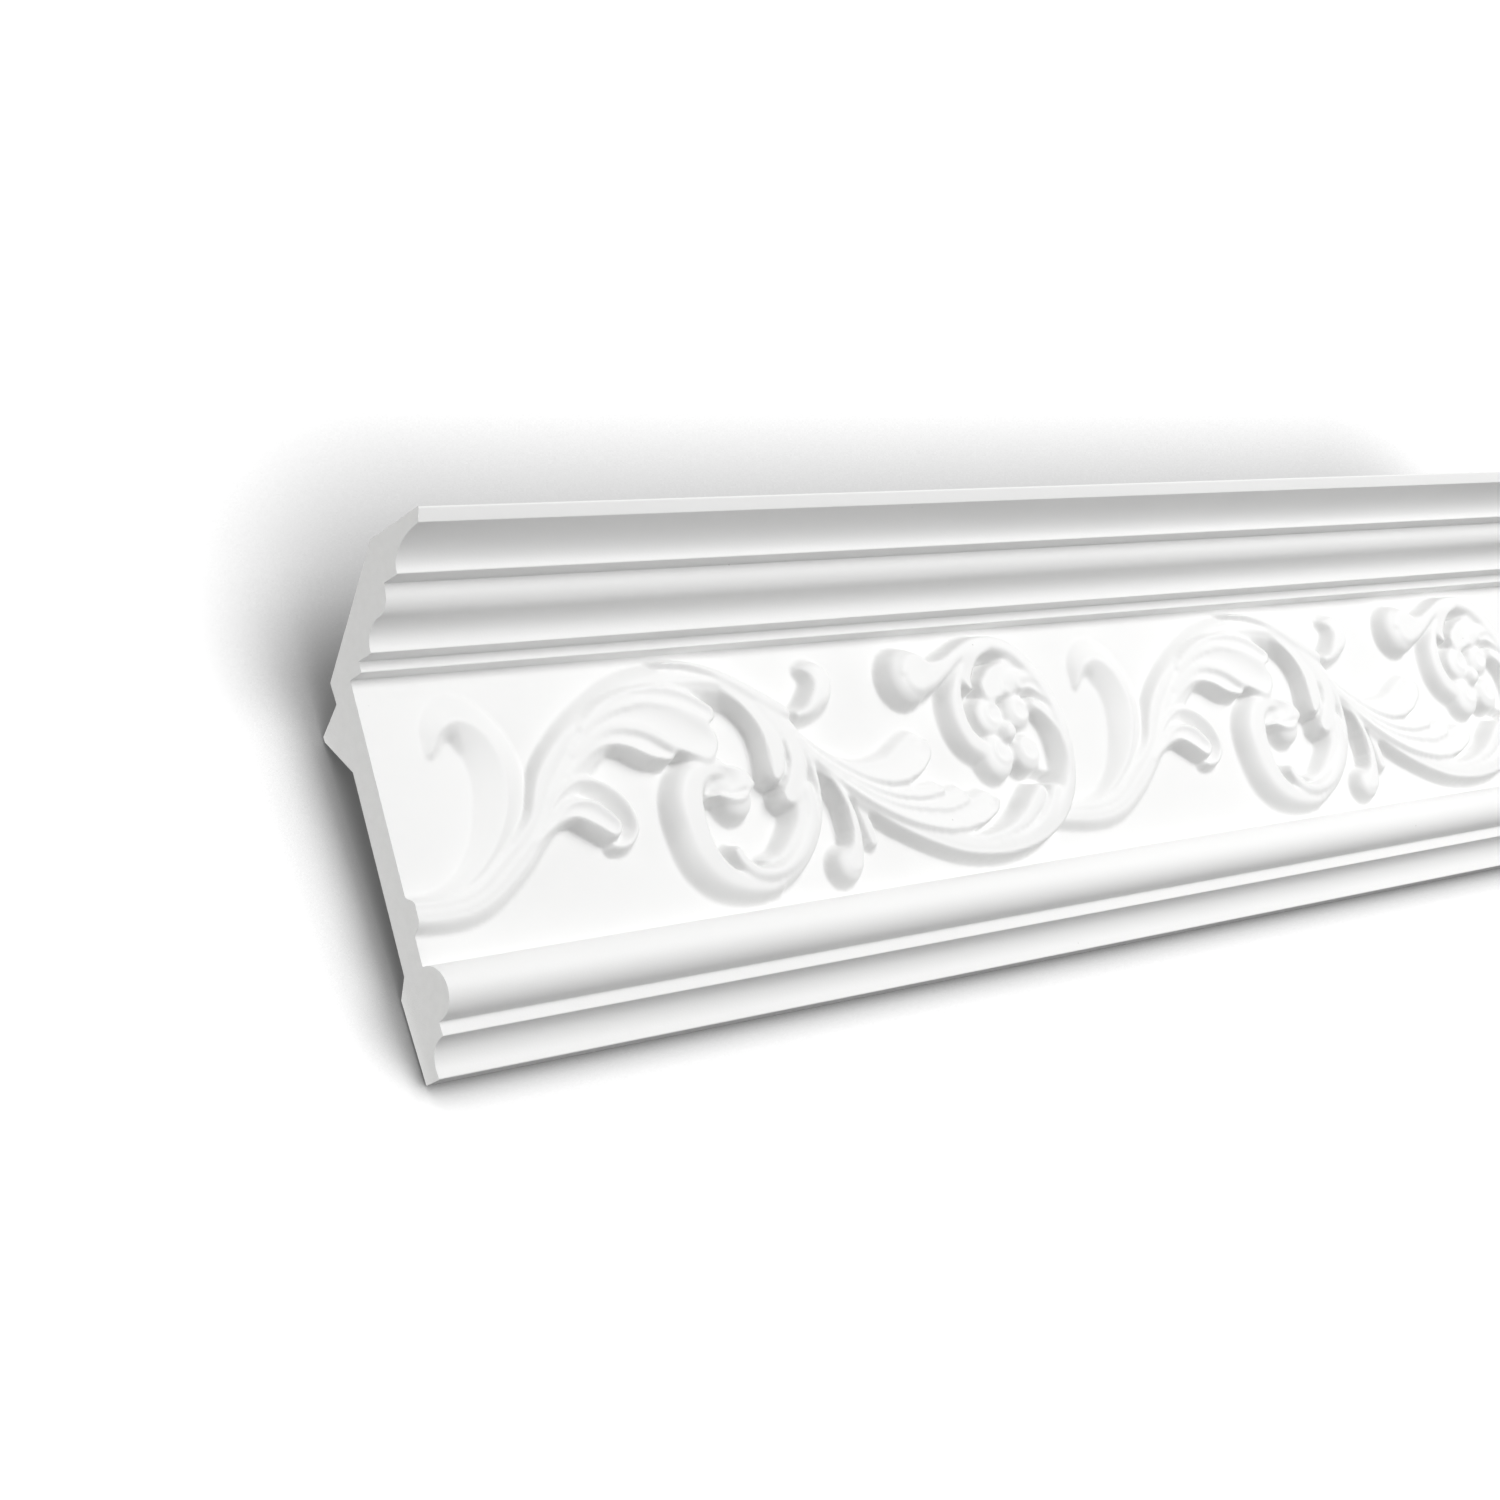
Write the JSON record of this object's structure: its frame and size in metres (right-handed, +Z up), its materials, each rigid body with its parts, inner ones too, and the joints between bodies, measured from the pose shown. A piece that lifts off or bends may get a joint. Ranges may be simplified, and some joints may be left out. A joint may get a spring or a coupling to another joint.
{
  "type": "cornice moulding",
  "caption": "Straight run of crown cornice with stepped coves, a bead and a frieze of scrolling acanthus relief, cut square at both ends, hollow-backed for glueing to wall and ceiling.",
  "frame": {"origin": "middle of the flat glueing strip at the foot of the back, on the wall plane, halfway along the run", "axes": "+X along the wall, +Y into the wall, +Z up to the ceiling; the carved front faces -Y"},
  "size_m": [0.6, 0.0669, 0.143],
  "materials": {
    "primed_foam": "smooth matte white primer over dense cast foam"
  },
  "bodies": {
    "root": {"cornice_moulding": "primed_foam"}
  },
  "joints": []
}
